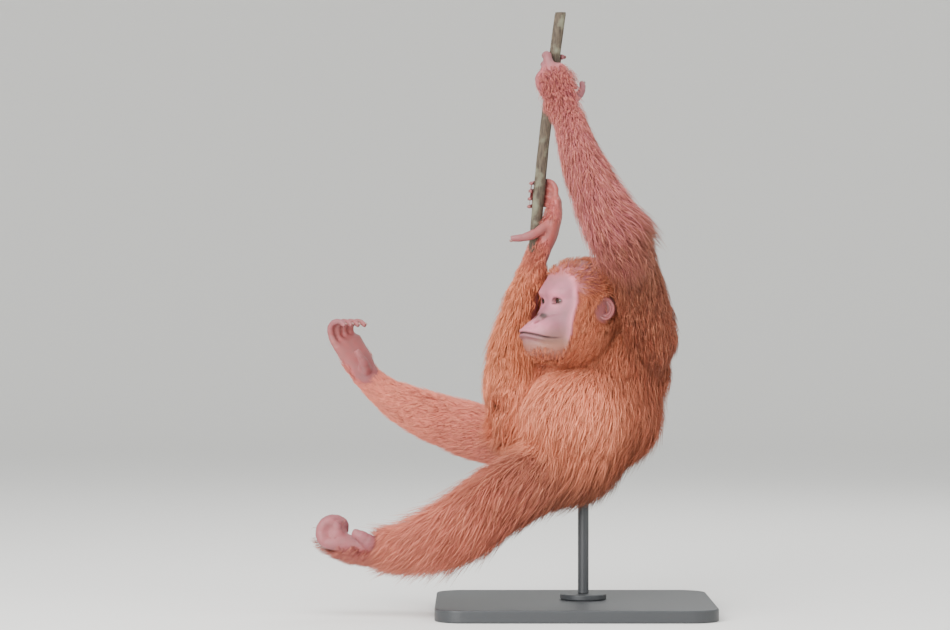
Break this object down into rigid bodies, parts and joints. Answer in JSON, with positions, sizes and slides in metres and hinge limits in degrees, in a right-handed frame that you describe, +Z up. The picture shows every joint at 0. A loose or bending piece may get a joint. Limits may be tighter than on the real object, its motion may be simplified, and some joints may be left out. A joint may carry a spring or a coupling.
{
  "type": "orangutan model",
  "caption": "Life-size still model of a young orangutan hanging by both hands from a cut stem, legs stretched to one side, carried on a flat base and a rod.",
  "frame": {"origin": "middle of the underside of the stand's base", "axes": "+Z up, +Y away from the picture's camera, +X to its right; the animal faces -X and -Y"},
  "size_m": [0.5741, 0.3512, 0.868],
  "materials": {
    "coat": "long loose red-orange hair, satin",
    "bare_skin": "matt grey-pink skin, finely creased",
    "eye": "wet dark brown",
    "bark": "dull grey-brown bark",
    "stand": "satin dark grey powder coat"
  },
  "bodies": {
    "root": {"head": "bare_skin", "neck": "coat", "torso": "coat", "ear_left": "bare_skin", "ear_right": "bare_skin", "eye_left": "eye", "eye_right": "eye", "upper_arm_left": "coat", "forearm_left": "coat", "hand_left": "coat", "finger_left_2": "bare_skin", "finger_left_3": "bare_skin", "finger_left_4": "bare_skin", "finger_left_5": "bare_skin", "thumb_left": "bare_skin", "upper_arm_right": "coat", "forearm_right": "coat", "hand_right": "bare_skin", "finger_right_2": "bare_skin", "finger_right_3": "bare_skin", "finger_right_4": "bare_skin", "finger_right_5": "bare_skin", "thumb_right": "bare_skin", "thigh_left": "coat", "shin_left": "coat", "foot_left": "bare_skin", "toe_left_2": "bare_skin", "toe_left_3": "bare_skin", "toe_left_4": "bare_skin", "toe_left_5": "bare_skin", "big_toe_left": "bare_skin", "thigh_right": "coat", "shin_right": "coat", "foot_right": "bare_skin", "toe_right_2": "bare_skin", "toe_right_3": "bare_skin", "toe_right_4": "bare_skin", "toe_right_5": "bare_skin", "big_toe_right": "bare_skin", "stem": "bark", "stand_base": "stand", "stand_flange": "stand", "stand_rod": "stand"}
  },
  "joints": []
}
